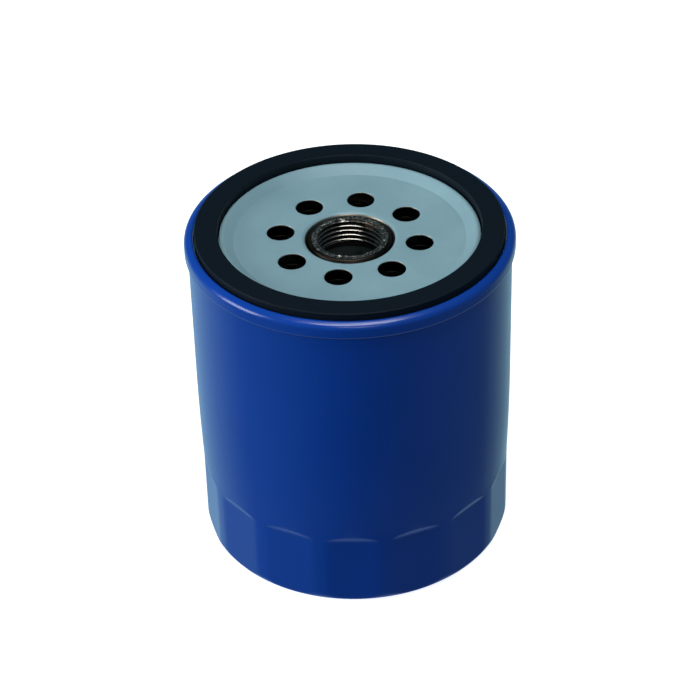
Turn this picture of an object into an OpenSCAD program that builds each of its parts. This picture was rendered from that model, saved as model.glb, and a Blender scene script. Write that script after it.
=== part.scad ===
/* [Can] */
// Height from the closed end to the top of the gasket
total_h = 101; // [88:1:125]
// Outer diameter of the can under the seam
body_top_d = 91.1; // [86:0.1:108]
// How much the can narrows towards the wrench flutes, on diameter
body_draft = 1.1; // [0:0.1:1.5]
// Height over which it narrows, just above the flutes
draft_h = 30; // [5:0.5:55]
// Thickness of the can's sheet
can_t = 0.5; // [0.4:0.05:0.6]
// Outer radius of the can's bottom edge
bottom_edge_r = 3; // [1.5:0.1:5]
// How far the closed end is pressed in above the ring it stands on
closed_end_rise = 2; // [1:0.1:3]
// Width of the ring that the can stands on
standing_ring_w = 4; // [2:0.5:8]
/* [Wrench flutes] */
// Number of flats round the closed end
flute_count = 15; // [12:1:18]
// Height of the flats above the closed end
flute_h = 24.2; // [15:0.1:30]
// Depth of each flat at its middle
flute_depth = 0.6; // [0.3:0.05:1]
// Height of the slope above each flat
flute_slope_h = 1; // [0.5:0.1:2]
// Direction of the first flat's middle, anticlockwise from +X
flute_turn = -92.2; // [-180:0.1:180]
/* [Double seam] */
// Thickness of the lid's sheet
lid_t = 0.5; // [0.4:0.05:0.6]
// Distance from the top of the gasket down to the top of the seam
seam_drop = 1.6; // [0.5:0.1:2]
// Height of the seam
seam_h = 4.8; // [4.6:0.1:7]
// Clearance between the folded sheets
seam_gap = 0.04; // [0.03:0.01:0.06]
// How far the seam's middle sheets overlap
hook_overlap = 1.3; // [1:0.1:1.7]
// How far the can's wall steps in below the seam
neck_in_w = 0.67; // [0.35:0.01:1]
// Height of that step
neck_in_h = 1; // [0.8:0.1:1.4]
// Distance from the bottom of the seam down to the start of that step
neck_in_drop = 1.6; // [1.6:0.1:3]
/* [Lid] */
// Distance from the top of the gasket down to the lid's flat centre
lid_drop = 4.2; // [3:0.1:5]
// Radius of the lid's flat centre
lid_flat_r = 32.5; // [31:0.1:34]
// Rise of the lid from its flat centre to the rim beside the gasket
rim_rise = 2.2; // [0.5:0.1:2.5]
// Radius of the lid's central opening
lid_mouth_r = 12.3; // [12.2:0.1:13]
// Radius of the edge turned down round the central opening
lid_mouth_roll_r = 1.2; // [0.8:0.1:1.4]
/* [Inlet holes] */
// Number of inlet holes
inlet_count = 8; // [6:1:8]
// Radius of each inlet hole in the lid
inlet_r = 3.9; // [3:0.1:4]
// Diameter of the circle through the inlet holes
inlet_circle_d = 39.5; // [38:0.5:40]
// Direction of the first inlet hole, anticlockwise from +X
inlet_turn = -10; // [-45:1:45]
/* [Gasket] */
// Height of the gasket's section
gasket_h = 5.7; // [5:0.1:6.5]
// Width of the gasket's section
gasket_w = 6.4; // [5.5:0.1:7]
// Clearance beside the gasket on each side
gasket_gap = 0.35; // [0.2:0.05:0.5]
// Chamfer on the gasket's edges
gasket_chamfer = 0.5; // [0.45:0.05:1]
/* [Threaded plate] */
// Thickness of the threaded plate
plate_t = 3.6; // [3:0.1:4]
// Depth that the plate's middle is pressed down
plate_dish = 3.3; // [3:0.1:4.5]
// Radius of the plate's pressed-down middle
plate_dish_r = 24.4; // [24:0.1:25]
// Minor radius of the thread, M20 x 1.5
thread_minor_r = 9.19; // [8.5:0.01:9.5]
// Pitch of the thread
thread_pitch = 1.5; // [1:0.25:2]
// Outer radius of the threaded neck
neck_r = 12; // [11.5:0.1:12]
// Distance from the top of the gasket down to the neck's mouth
neck_drop = 4.1; // [3.8:0.1:4.5]
// Extra radius of the plate's holes over the lid's holes
plate_hole_extra = 0.2; // [0:0.1:0.4]
// Number of spot welds that join the lid to the plate
weld_count = 8; // [6:1:12]
// Radius of each spot weld
weld_r = 2; // [1.5:0.1:2]
/* [Anti-drain valve] */
// Thickness of the rubber membrane
membrane_t = 1.1; // [0.8:0.1:1.3]
// Height of the clamped inner ring
valve_ring_h = 2.6; // [2.4:0.1:4]
// How far the clamped ring reaches in over the end cap's inner collar
valve_overhang = 2; // [1.5:0.1:2.5]
// Width of the clamped ring
valve_ring_w = 3; // [2:0.1:3.5]
// Radius of the sealing lip
valve_lip_r = 25.8; // [25.5:0.1:26]
// Number of stiffening ribs on the membrane
valve_rib_count = 16; // [8:1:24]
// Clearance where the rubber meets metal
valve_gap = 0.1; // [0.05:0.01:0.15]
/* [Filter element] */
// Outer radius of the end caps
cap_r = 38.8; // [36:0.1:40]
// Thickness of the end caps and the centre tube
cap_t = 0.4; // [0.3:0.05:0.5]
// Height of the end caps' outer rims
cap_rim_h = 4; // [2:0.5:6]
// Inner radius of the end caps' inner collars
cap_collar_r = 12.6; // [12.5:0.1:13]
// Length of the end caps' inner collars
cap_collar_h = 4.5; // [3:0.5:6]
// Thickness of the potting compound
potting_t = 1.6; // [1.4:0.1:2.5]
// Depth that the paper stands in the potting
paper_bite = 1; // [0.5:0.1:1]
// Number of pleats
pleat_count = 50; // [40:1:52]
// Thickness of the filter paper
paper_t = 0.5; // [0.4:0.05:0.55]
// Length of the clip that joins the ends of the paper, across the fold
clip_l = 7; // [4:0.5:10]
// Thickness of the clip's strip
clip_t = 0.3; // [0.2:0.05:0.4]
// Radius of the holes in the centre tube
tube_hole_r = 2.2; // [1.5:0.1:2.5]
// Distance between the rows of holes in the centre tube
tube_row_step = 7; // [6:0.5:10]
/* [Relief valve] */
// Lift of the relief valve
relief_lift = 2.5; // [1.5:0.1:3]
// Radius of the hole under the relief valve
relief_port_r = 6.5; // [5:0.1:7]
// Radius of the relief valve's disc
relief_disc_r = 9; // [8.5:0.1:9.2]
// Thickness of the relief valve's disc
relief_disc_t = 0.8; // [0.6:0.1:1]
// Thickness of the seal under the disc
relief_seal_t = 1.2; // [0.8:0.1:1.5]
// Radius of the stem that guides the disc
relief_stem_r = 1.8; // [1.5:0.1:2.2]
// Radial clearance round the stem
relief_stem_gap = 0.3; // [0.2:0.05:0.5]
// Room left between the relief spring's turns when the valve is fully open
relief_spare = 3; // [1:0.5:6]
// Thickness of the relief valve's sheet parts
relief_t = 0.5; // [0.4:0.05:0.6]
// Wire diameter of the relief spring
relief_wire_d = 0.9; // [0.7:0.1:1]
// Mean radius of the relief spring
relief_coil_r = 5.8; // [5:0.1:6.5]
// Number of turns of the relief spring
relief_turns = 5; // [4:0.5:6]
/* [Support spring] */
// Space under the filter element
element_lift = 14.5; // [12:0.5:18]
// Wire diameter of the support spring
support_wire_d = 2; // [1.6:0.1:2.4]
// Mean radius of the support spring
support_coil_r = 20.5; // [19.5:0.5:26]
// Number of turns of the support spring
support_turns = 3; // [2.5:0.5:3.5]
/* [Hidden] */
$fn = 96;
// Length by which a cutter runs past what it cuts
cut = 1;
// Clearance between pieces that are pressed or laid together
lay_gap = 0.05;
// Steps in a quarter of a small bend
bend_steps = 5;

// Can, from the outside in
body_top_r = body_top_d / 2;
body_low_r = body_top_r - body_draft / 2;
flat_middle_r = body_low_r - flute_depth;
inner_top_r = body_top_r - can_t;
panel_r = body_low_r - bottom_edge_r - standing_ring_w - closed_end_rise;
draft_z = flute_h + 0.5;

// Double seam: sheet middles, from the inside of the lid's wall to the outside
seam_top_z = total_h - seam_drop;
seam_low_z = seam_top_z - seam_h;
wall_step = (lid_t + can_t) / 2 + seam_gap;
body_wall_r = body_top_r - neck_in_w - can_t / 2;
chuck_wall_r = body_wall_r - wall_step;
cover_hook_r = body_wall_r + wall_step;
body_hook_r = cover_hook_r + wall_step;
seam_panel_r = body_hook_r + wall_step;
seam_mid_r = (chuck_wall_r + seam_panel_r) / 2;
cover_bend_r = (seam_panel_r - chuck_wall_r) / 2;
body_bend_r = (body_hook_r - body_wall_r) / 2;
cover_turn_r = (seam_panel_r - cover_hook_r) / 2;
cover_bend_z = seam_top_z - cover_bend_r - lid_t / 2;
cover_turn_z = seam_low_z + cover_turn_r + lid_t / 2;
compound_t = 0.2;
body_bend_z = cover_bend_z - compound_t;
body_hook_end_z = cover_turn_z + 0.7;
cover_hook_end_z = body_hook_end_z + hook_overlap;
neck_in_z = seam_low_z - neck_in_drop;

// Lid and gasket
lid_z = total_h - lid_drop;
lid_mid_z = lid_z - lid_t / 2;
groove_z = total_h - gasket_h;
gasket_r = chuck_wall_r - lid_t / 2 - gasket_gap;
gasket_bore_r = gasket_r - gasket_w;
rim_wall_r = gasket_bore_r - gasket_gap - lid_t / 2;
rim_bend_r = 0.8;
rim_bend_z = lid_z + rim_rise - lid_t / 2 - rim_bend_r;
rim_way = [rim_wall_r - rim_bend_r - lid_flat_r, rim_bend_z - lid_mid_z];
rim_slope = atan2(rim_way[1], rim_way[0]) + asin(rim_bend_r / norm(rim_way));
groove_bend_r = 0.7;
inlet_pitch_r = inlet_circle_d / 2;

// Threaded plate
plate_z = lid_z - lid_t;
plate_r = lid_flat_r - 0.2;
dish_z = plate_z - plate_dish;
plate_under_z = dish_z - plate_t;
plate_slope_w = 3.2;
plate_under_dish_r = plate_dish_r + 1.6;
plate_hole_r = inlet_r + plate_hole_extra;
mouth_z = total_h - neck_drop;
mouth_round_r = 1;
thread_depth = 0.54 * thread_pitch;
thread_crest_w = thread_pitch / 4;
thread_root_w = thread_pitch / 8;
thread_chamfer = 0.6;
thread_turns = floor((mouth_z - plate_under_z - 2 * thread_chamfer) / thread_pitch);
weld_circle_r = (plate_dish_r + plate_slope_w + plate_r) / 2;
weld_h = 0.7;

// Anti-drain valve
valve_top_z = plate_under_z - valve_gap;
valve_ring_z = valve_top_z - valve_ring_h;
collar_out_r = cap_collar_r + cap_t;
valve_bore_r = collar_out_r - valve_overhang;
valve_root_r = valve_bore_r + valve_ring_w;
membrane_root_z = valve_ring_z + membrane_t / 2 + 0.3;
membrane_low_r = valve_root_r + 3;
membrane_lip_z = valve_top_z - membrane_t / 2;
rib_w = 0.8;
rib_h = 0.5;

// Filter element
cap_top_z = valve_ring_z - valve_gap;
tube_bore_r = collar_out_r + 0.15;
tube_r = tube_bore_r + cap_t;
cap_bend_r = 0.8;
potting_r = cap_r - cap_t - 2 * lay_gap;
potting_bore_r = tube_r + lay_gap;
pleat_in_r = potting_bore_r + 1;
pleat_out_r = potting_r - 1;
pleat_step = 360 / pleat_count;
pleat_fold = 0.13;
pleat_valley = 0.21;
upper_potting_z = cap_top_z - cap_t - lay_gap - potting_t;
lower_potting_z = element_lift + cap_t + lay_gap;
paper_z = lower_potting_z + potting_t - paper_bite + lay_gap;
paper_h = upper_potting_z + paper_bite - lay_gap - paper_z;
clip_turn = 90;
fin_gap = 0.3;
fin_half = fin_gap / 2 + paper_t / 2;
clip_z = lower_potting_z + potting_t + lay_gap;
clip_h = upper_potting_z - lay_gap - clip_z;
cap_fillet_r = cap_bend_r - cap_t / 2;
tube_z = element_lift + cap_t + cap_fillet_r + lay_gap;
tube_h = cap_top_z - cap_t - cap_fillet_r - lay_gap - tube_z;
tube_holes_round = 8;
tube_rows = floor((tube_h - 4 * tube_row_step) / tube_row_step) + 1;
tube_first_z = tube_z + tube_h / 2 - (tube_rows - 1) * tube_row_step / 2;

// Relief valve
seat_flange_r = 17;
seat_flange_z = element_lift - lay_gap - relief_t;
seat_wall_r = cap_collar_r - lay_gap;
seat_floor_z = element_lift + cap_collar_h;
cage_z = seat_floor_z + lay_gap;
cage_flange_r = seat_wall_r - relief_t - lay_gap;
cage_bore_r = relief_disc_r + 0.8;
relief_cage_h = relief_seal_t + relief_disc_t + relief_lift + relief_turns * relief_wire_d + relief_spare;
cage_top_z = cage_z + relief_cage_h;
seal_z = seat_floor_z + lay_gap;
seal_bore_r = relief_port_r + 0.3;
disc_z = seal_z + relief_seal_t;
stem_top_z = cage_top_z + relief_t + 2;
cage_window_w = 7;
cage_window_h = relief_cage_h - 4;
relief_coil_z = disc_z + relief_disc_t + lay_gap;
relief_coil_h = cage_top_z - lay_gap - relief_coil_z;

// Support spring
support_coil_z = closed_end_rise + can_t + lay_gap;
support_coil_h = element_lift - lay_gap - support_coil_z;

// Points on an arc round c, from angle a0 to angle a1
function arc(c, r, a0, a1, n = bend_steps) =
    [for (i = [0:n]) c + r * [cos(a0 + (a1 - a0) * i / n), sin(a0 + (a1 - a0) * i / n)]];
function unit(v) = v / norm(v);
function left_of(v) = [-v[1], v[0]];
function reversed(p) = [for (i = [len(p) - 1:-1:0]) p[i]];
// Line beside the path p, d to its left
function beside(p, d) = let (last = len(p) - 1) [
    for (i = [0:last])
        let (before = max(i, 1), after = min(i, last - 1))
        let (n1 = left_of(unit(p[before] - p[before - 1])))
        let (n2 = left_of(unit(p[after + 1] - p[after])))
        let (m = unit(n1 + n2))
        p[i] + m * d / (m * n1)
];
function polar(r, a) = [r * cos(a), r * sin(a)];

// Section of a sheet of thickness t whose middle follows the path p
module sheet(p, t) {
    polygon(concat(beside(p, t / 2), reversed(beside(p, -t / 2))));
}

// Round wire of a coil spring that stands on z = 0 with flat end turns
module coil(r, wire_d, turns, h, per_turn, sides) {
    flat = 0.75;
    steps = round(turns * per_turn);
    climb = h - wire_d;
    rings = [
        for (i = [0:steps])
            let (t = i / per_turn)
            let (s = min(max((t - flat) / (turns - 2 * flat), 0), 1))
            let (c = wire_d / 2 + climb * s)
            [for (k = [0:sides - 1])
                let (a = 360 * k / sides, q = r + wire_d / 2 * cos(a))
                [q * cos(360 * t), q * sin(360 * t), c + wire_d / 2 * sin(a)]]
    ];
    walls = [
        for (i = [0:steps - 1], k = [0:sides - 1])
            let (n = (k + 1) % sides)
            [i * sides + k, i * sides + n, (i + 1) * sides + n, (i + 1) * sides + k]
    ];
    ends = [[for (k = [sides - 1:-1:0]) k], [for (k = [0:sides - 1]) steps * sides + k]];
    polyhedron([for (ring = rings) each ring], concat(walls, ends));
}

// Round body of the can as a solid, inset by s from the outer surface
module can_solid(s) {
    edge_r = bottom_edge_r - s;
    ring_in_r = body_low_r - bottom_edge_r - standing_ring_w;
    rotate_extrude()
        polygon(concat(
            [[0, closed_end_rise + s], [panel_r - s / 2, closed_end_rise + s], [ring_in_r - s / 2, s]],
            arc([body_low_r - bottom_edge_r, bottom_edge_r], edge_r, -90, 0),
            [[body_low_r - s, draft_z], [body_top_r - s, draft_z + draft_h],
             [body_top_r - s, neck_in_z], [0, neck_in_z]]
        ));
}

// What the wrench flutes take off a round body, s inside its outer surface
module flute_cuts(s) {
    r = flat_middle_r - s;
    reach = 4;
    for (i = [0:flute_count - 1])
        rotate([0, 0, flute_turn + 360 * i / flute_count])
            rotate([90, 0, 0])
                translate([0, 0, -body_low_r / 2])
                    linear_extrude(body_low_r)
                        polygon([
                            [r, -cut], [r, flute_h - flute_slope_h],
                            [r + flute_depth, flute_h],
                            [r + reach, flute_h + reach], [r + reach, -cut]
                        ]);
}

// Deep-drawn steel can with its folded seam edge
module can() {
    color("#1f4c9c")
        union() {
            difference() {
                difference() {
                    can_solid(0);
                    flute_cuts(0);
                }
                difference() {
                    can_solid(can_t);
                    flute_cuts(can_t);
                }
                translate([0, 0, neck_in_z])
                    cylinder(r = inner_top_r, h = cut, center = true);
            }
            rotate_extrude()
                sheet(concat(
                    [[body_top_r - can_t / 2, neck_in_z], [body_wall_r, neck_in_z + neck_in_h]],
                    arc([seam_mid_r, body_bend_z], body_bend_r, 180, 0, 2 * bend_steps),
                    [[body_hook_r, body_hook_end_z]]
                ), can_t);
        }
}

// Thin pressed lid: mouth, flat centre, rim, gasket groove and seam
module seaming_lid() {
    color("#7d9ba5")
        difference() {
            rotate_extrude()
                sheet(concat(
                    arc([lid_mouth_r + lid_t / 2 + lid_mouth_roll_r, lid_mid_z - lid_mouth_roll_r],
                        lid_mouth_roll_r, 180, 90),
                    [[lid_flat_r, lid_mid_z]],
                    arc([rim_wall_r - rim_bend_r, rim_bend_z], rim_bend_r, 90 + rim_slope, 0, bend_steps + 1),
                    arc([rim_wall_r + groove_bend_r, groove_z - lid_t / 2 + groove_bend_r],
                        groove_bend_r, 180, 270),
                    arc([chuck_wall_r - groove_bend_r, groove_z - lid_t / 2 + groove_bend_r],
                        groove_bend_r, 270, 360),
                    arc([seam_mid_r, cover_bend_z], cover_bend_r, 180, 0, 2 * bend_steps),
                    arc([(seam_panel_r + cover_hook_r) / 2, cover_turn_z], cover_turn_r, 0, -180,
                        2 * bend_steps),
                    [[cover_hook_r, cover_hook_end_z]]
                ), lid_t);
            inlet_holes(inlet_r);
            weld_discs();
        }
}

// Bead of sealing compound between the folded edges of the can and the lid
module seam_compound() {
    bead_r = body_bend_r + can_t / 2 + seam_gap / 2;
    color("#3a3f3c")
        rotate_extrude()
            polygon(concat(
                arc([seam_mid_r, cover_bend_z], bead_r, 30, 150),
                arc([seam_mid_r, body_bend_z], bead_r, 150, 30)
            ));
}

// Inlet holes through the lid and the plate
module inlet_holes(r) {
    for (i = [0:inlet_count - 1])
        rotate([0, 0, inlet_turn + 360 * i / inlet_count])
            translate([inlet_pitch_r, 0, plate_under_z - cut])
                cylinder(r = r, h = lid_z - plate_under_z + 2 * cut);
}

// Square-cut rubber ring in the lid's groove
module gasket() {
    c = gasket_chamfer;
    color("#14181a")
        rotate_extrude()
            polygon([
                [gasket_bore_r + c, groove_z], [gasket_r - c, groove_z], [gasket_r, groove_z + c],
                [gasket_r, total_h - c / 2], [gasket_r - c / 2, total_h],
                [gasket_bore_r + c / 2, total_h], [gasket_bore_r, total_h - c / 2],
                [gasket_bore_r, groove_z + c]
            ]);
}

// Thick dished plate with a threaded neck drawn up from its middle
module base_plate() {
    root_r = thread_minor_r + thread_depth;
    slope_r = plate_dish_r + plate_slope_w;
    flank = (thread_pitch - thread_crest_w - thread_root_w) / 2;
    thread_z = plate_under_z + thread_chamfer + thread_crest_w / 2;
    grooves = [
        for (i = [0:thread_turns - 1])
            let (z = thread_z + i * thread_pitch)
            each [[thread_minor_r, z], [root_r, z + flank], [root_r, z + flank + thread_root_w],
                  [thread_minor_r, z + 2 * flank + thread_root_w]]
    ];
    color("#6d6660")
        difference() {
            rotate_extrude()
                polygon(concat(
                    [[thread_minor_r + thread_chamfer, plate_under_z],
                     [thread_minor_r, plate_under_z + thread_chamfer]],
                    grooves,
                    [[thread_minor_r, mouth_z - thread_chamfer],
                     [thread_minor_r + thread_chamfer, mouth_z]],
                    arc([neck_r - mouth_round_r, mouth_z - mouth_round_r], mouth_round_r, 90, 0),
                    arc([neck_r + mouth_round_r, dish_z + mouth_round_r], mouth_round_r, 180, 270),
                    [[plate_dish_r, dish_z], [slope_r, plate_z], [plate_r, plate_z],
                     [plate_r, plate_z - plate_t],
                     [plate_under_dish_r + plate_slope_w, plate_z - plate_t],
                     [plate_under_dish_r, plate_under_z]]
                ));
            inlet_holes(plate_hole_r);
            weld_discs();
        }
}

// Weld nuggets, half in the lid and half in the plate
module weld_discs() {
    for (i = [0:weld_count - 1])
        rotate([0, 0, inlet_turn + 360 * (i + 0.5) / weld_count])
            translate([weld_circle_r, 0, plate_z])
                cylinder(r = weld_r, h = weld_h, center = true);
}
module spot_welds() {
    color("#5c5a58") weld_discs();
}

// Moulded rubber valve: clamped ring, ribbed membrane and sealing lip
module anti_drain_valve() {
    color("#2b2320")
        difference() {
            union() {
                rotate_extrude()
                    polygon([
                        [valve_bore_r, valve_ring_z], [valve_root_r, valve_ring_z],
                        [valve_root_r, valve_top_z], [valve_bore_r, valve_top_z]
                    ]);
                rotate_extrude()
                    sheet([
                        [valve_root_r - cut, membrane_root_z], [membrane_low_r, membrane_root_z],
                        [valve_lip_r - 1.2, membrane_lip_z], [valve_lip_r, membrane_lip_z]
                    ], membrane_t);
                for (i = [0:valve_rib_count - 1])
                    rotate([0, 0, 360 * i / valve_rib_count])
                        translate([valve_root_r - cut, -rib_w / 2, membrane_root_z])
                            cube([4 + cut, rib_w, membrane_t / 2 + rib_h]);
            }
            translate([0, 0, valve_top_z])
                cylinder(r = valve_lip_r + cut, h = cut);
        }
}

// Pressed end cap, lying with its open side up at z = 0
module end_cap() {
    color("#9fb0b2")
        rotate_extrude()
            sheet(concat(
                [[collar_out_r - cap_t / 2, cap_collar_h]],
                arc([collar_out_r - cap_t / 2 + cap_bend_r, cap_t / 2 + cap_bend_r],
                    cap_bend_r, 180, 270),
                arc([cap_r - cap_t / 2 - cap_bend_r, cap_t / 2 + cap_bend_r], cap_bend_r, 270, 360),
                [[cap_r - cap_t / 2, cap_rim_h]]
            ), cap_t);
}
module upper_end_cap() {
    translate([0, 0, cap_top_z])
        mirror([0, 0, 1])
            end_cap();
}
module lower_end_cap() {
    translate([0, 0, element_lift])
        end_cap();
}

// Outline of the pleated paper: two end fins and a row of folds between them
module pleat_outline(t) {
    fin_turn = asin(fin_half / pleat_in_r);
    folds = [
        for (i = [1:pleat_count - 1])
            let (a = i * pleat_step)
            each [polar(pleat_in_r, a - pleat_step * (0.5 - pleat_valley)),
                  polar(pleat_out_r, a - pleat_step * pleat_fold),
                  polar(pleat_out_r, a + pleat_step * pleat_fold),
                  polar(pleat_in_r, a + pleat_step * (0.5 - pleat_valley))]
    ];
    sheet(concat(
        [[pleat_out_r - 1, fin_half], polar(pleat_in_r, fin_turn)],
        folds,
        [polar(pleat_in_r, -fin_turn), [pleat_out_r - 1, -fin_half]]
    ), t);
}
module filter_media() {
    color("#d8c48a")
        translate([0, 0, paper_z])
            rotate([0, 0, clip_turn])
                linear_extrude(paper_h)
                    pleat_outline(paper_t);
}

// Ring of potting compound, lying in an end cap with its paper groove on top
module potting() {
    c = cap_fillet_r;
    color("#b9b39c")
        difference() {
            rotate_extrude()
                polygon([
                    [potting_bore_r + c, 0], [potting_r - c, 0], [potting_r, c],
                    [potting_r, potting_t], [potting_bore_r, potting_t], [potting_bore_r, c]
                ]);
            translate([0, 0, potting_t - paper_bite])
                linear_extrude(paper_bite + cut)
                    pleat_outline(paper_t + 2 * lay_gap);
        }
}
module upper_potting() {
    translate([0, 0, upper_potting_z + potting_t])
        mirror([0, 0, 1])
            rotate([0, 0, clip_turn])
                potting();
}
module lower_potting() {
    translate([0, 0, lower_potting_z])
        rotate([0, 0, clip_turn])
            potting();
}

// Folded strip that grips the two ends of the paper
module media_seam_clip() {
    grip = fin_half + paper_t / 2 + lay_gap;
    tip_r = pleat_out_r - 1 + lay_gap;
    color("#a9b3b5")
        translate([0, 0, clip_z])
            rotate([0, 0, clip_turn])
                linear_extrude(clip_h)
                    difference() {
                        translate([tip_r + clip_t - clip_l, -grip - clip_t])
                            square([clip_l, 2 * (grip + clip_t)]);
                        translate([tip_r - clip_l, -grip])
                            square([clip_l, 2 * grip]);
                    }
}

// Perforated tube that holds the paper open
module center_tube() {
    color("#a4b4b6")
        difference() {
            translate([0, 0, tube_z])
                cylinder(r = tube_r, h = tube_h);
            translate([0, 0, tube_z - cut])
                cylinder(r = tube_bore_r, h = tube_h + 2 * cut);
            for (row = [0:tube_rows - 1], i = [0:tube_holes_round / 2 - 1])
                translate([0, 0, tube_first_z + row * tube_row_step])
                    rotate([0, 0, 360 * (i + row % 2 / 2) / tube_holes_round])
                        rotate([90, 0, 0])
                            cylinder(r = tube_hole_r, h = 2 * tube_r + 2 * cut, center = true);
        }
}

// Cup pressed up into the lower end cap, with the relief port in its floor
module relief_seat() {
    color("#b2b8b6")
        rotate_extrude()
            polygon([
                [relief_port_r, seat_floor_z - relief_t], [seat_wall_r - relief_t, seat_floor_z - relief_t],
                [seat_wall_r - relief_t, seat_flange_z], [seat_flange_r, seat_flange_z],
                [seat_flange_r, seat_flange_z + relief_t], [seat_wall_r, seat_flange_z + relief_t],
                [seat_wall_r, seat_floor_z], [relief_port_r, seat_floor_z]
            ]);
}

// Windowed cage that holds the relief spring over its disc
module relief_cage() {
    color("#b2b8b6")
        difference() {
            rotate_extrude()
                polygon([
                    [cage_bore_r, cage_z], [cage_flange_r, cage_z], [cage_flange_r, cage_z + relief_t],
                    [cage_bore_r + relief_t, cage_z + relief_t],
                    [cage_bore_r + relief_t, cage_top_z + relief_t],
                    [relief_stem_r + relief_stem_gap, cage_top_z + relief_t],
                    [relief_stem_r + relief_stem_gap, cage_top_z], [cage_bore_r, cage_top_z]
                ]);
            for (a = [0, 90])
                rotate([0, 0, a])
                    translate([-tube_r, -cage_window_w / 2, cage_z + relief_t + 1])
                        cube([2 * tube_r, cage_window_w, cage_window_h]);
        }
}

// Rubber ring bonded under the disc
module relief_seal() {
    color("#1d1f20")
        translate([0, 0, seal_z])
            difference() {
                cylinder(r = relief_disc_r, h = relief_seal_t);
                translate([0, 0, -cut]) cylinder(r = seal_bore_r, h = relief_seal_t + 2 * cut);
            }
}

// Relief disc with its guide stem
module relief_disc() {
    color("#9aa3a2") {
        translate([0, 0, disc_z])
            cylinder(r = relief_disc_r, h = relief_disc_t);
        translate([0, 0, disc_z])
            cylinder(r = relief_stem_r, h = stem_top_z - disc_z);
    }
}
module relief_spring() {
    color("#8e9494")
        translate([0, 0, relief_coil_z])
            coil(relief_coil_r, relief_wire_d, relief_turns, relief_coil_h, 18, 8);
}

// Coil spring that presses the filter element up against the valve and plate
module support_spring() {
    color("#7e8485")
        translate([0, 0, support_coil_z])
            coil(support_coil_r, support_wire_d, support_turns, support_coil_h, 24, 10);
}

can();
seaming_lid();
seam_compound();
gasket();
base_plate();
spot_welds();
anti_drain_valve();
upper_end_cap();
upper_potting();
filter_media();
media_seam_clip();
center_tube();
lower_potting();
lower_end_cap();
relief_seat();
relief_cage();
relief_seal();
relief_disc();
relief_spring();
support_spring();
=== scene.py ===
import math

import bmesh
import bpy
import numpy as np
from mathutils import Matrix, Vector, noise


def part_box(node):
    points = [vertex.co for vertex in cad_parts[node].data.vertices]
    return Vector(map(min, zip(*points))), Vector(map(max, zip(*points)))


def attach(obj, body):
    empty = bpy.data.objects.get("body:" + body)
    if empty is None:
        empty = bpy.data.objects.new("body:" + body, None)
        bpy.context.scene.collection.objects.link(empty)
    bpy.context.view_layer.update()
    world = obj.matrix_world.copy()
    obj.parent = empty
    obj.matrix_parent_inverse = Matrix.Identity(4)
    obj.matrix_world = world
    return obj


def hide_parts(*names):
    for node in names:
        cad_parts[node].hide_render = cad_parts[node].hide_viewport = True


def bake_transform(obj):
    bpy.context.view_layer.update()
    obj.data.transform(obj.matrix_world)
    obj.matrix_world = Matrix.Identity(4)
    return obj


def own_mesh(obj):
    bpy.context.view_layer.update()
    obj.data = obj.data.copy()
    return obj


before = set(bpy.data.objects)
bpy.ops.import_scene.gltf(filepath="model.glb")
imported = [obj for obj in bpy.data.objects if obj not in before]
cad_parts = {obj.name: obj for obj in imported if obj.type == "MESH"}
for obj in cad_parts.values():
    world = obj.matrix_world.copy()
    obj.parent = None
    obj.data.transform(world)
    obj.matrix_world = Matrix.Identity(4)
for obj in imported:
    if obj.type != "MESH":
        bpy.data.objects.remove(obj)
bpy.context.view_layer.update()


# ---------------------------------------------------------------- Can
# The body of the filter: one cup of half-millimetre steel sheet, deep-drawn, with fifteen flats
# pressed in round its closed end for a cap wrench. It is sprayed with blue enamel and baked
# after the lid is seamed on, so the same enamel covers the outside of the seam.

MM = 0.001
sheet_t = 0.5
wall_step = sheet_t + 0.04
neck_in = 0.67
can_top_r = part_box("can")[1].x / MM - 2 * wall_step + neck_in
can_low_r = can_top_r - 0.55
draft_low_z = 24.7
draft_high_z = 54.7
edge_r = 3.0
stand_in_r = can_low_r - edge_r - 4.0
panel_rise = 2.0
panel_bend_r = 1.2
neck_low_z = 94.05
neck_h = 1.2
neck_bend_r = 0.5
neck_lean = 38

flat_count = 15
flat_first = math.radians(-92.2)
flats_end_z = 30
flat_middle_r = can_low_r - 0.6
flat_top_z = 23.15
flat_ledge_slope = 0.45
flat_softness = 0.07
ledge_softness = 0.13
can_columns = flat_count * 36

seam_top_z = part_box("seaming_lid")[1].z / MM
can_hook_r = can_top_r - neck_in - sheet_t / 2
seam_wall_r = can_hook_r - wall_step
seam_mid_r = can_hook_r + wall_step
seam_panel_r = seam_mid_r + 2 * wall_step
can_bend_z = seam_top_z - 1.8
hook_low_z = 96.09


def bend(centre_r, centre_z, radius, start, end, steps=8):
    """Points round a bend of a section, between two directions in degrees."""
    turn = np.radians(np.linspace(start, end, steps + 1))
    return [(centre_r + radius * math.cos(a), centre_z + radius * math.sin(a)) for a in turn]


def beside(path, distance):
    """The line beside a section's path, to its left."""
    path = np.array(path)
    along = np.diff(path, axis=0)
    along /= np.linalg.norm(along, axis=1)[:, None]
    left = np.stack([-along[:, 1], along[:, 0]], axis=1)
    before = np.vstack([left[:1], left])
    after = np.vstack([left, left[-1:]])
    middle = before + after
    middle /= np.linalg.norm(middle, axis=1)[:, None]
    return path + middle * (distance / (middle * before).sum(1))[:, None]


def round_to(low, high, step):
    """Even steps from low to high, both included."""
    return np.linspace(low, high, max(2, int(round((high - low) / step)) + 1))


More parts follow.
